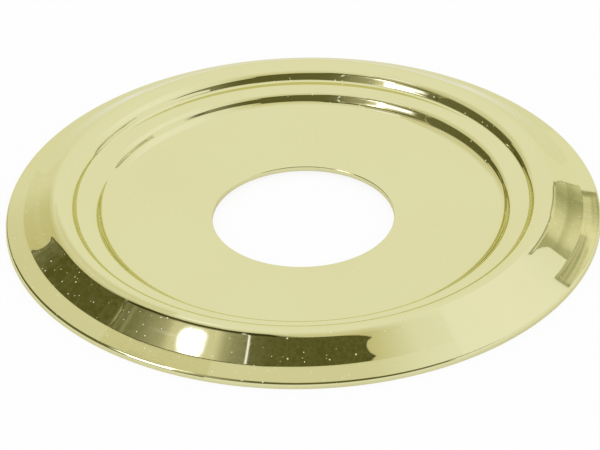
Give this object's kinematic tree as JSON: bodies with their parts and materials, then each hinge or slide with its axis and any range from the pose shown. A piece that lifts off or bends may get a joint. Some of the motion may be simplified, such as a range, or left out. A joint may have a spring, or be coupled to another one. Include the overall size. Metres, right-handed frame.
{
  "type": "ceiling canopy",
  "caption": "Round stepped sheet-brass canopy with a recessed flat centre and a large plain hole, for covering a ceiling outlet behind a light fitting.",
  "frame": {"origin": "centre of the circle where the lip rests on the ceiling", "axes": "+Z along the axis of the round, out of the show face, away from the ceiling"},
  "size_m": [0.131, 0.131, 0.0078],
  "materials": {
    "polished_brass": "polished"
  },
  "bodies": {
    "root": {"canopy": "polished_brass"}
  },
  "joints": []
}
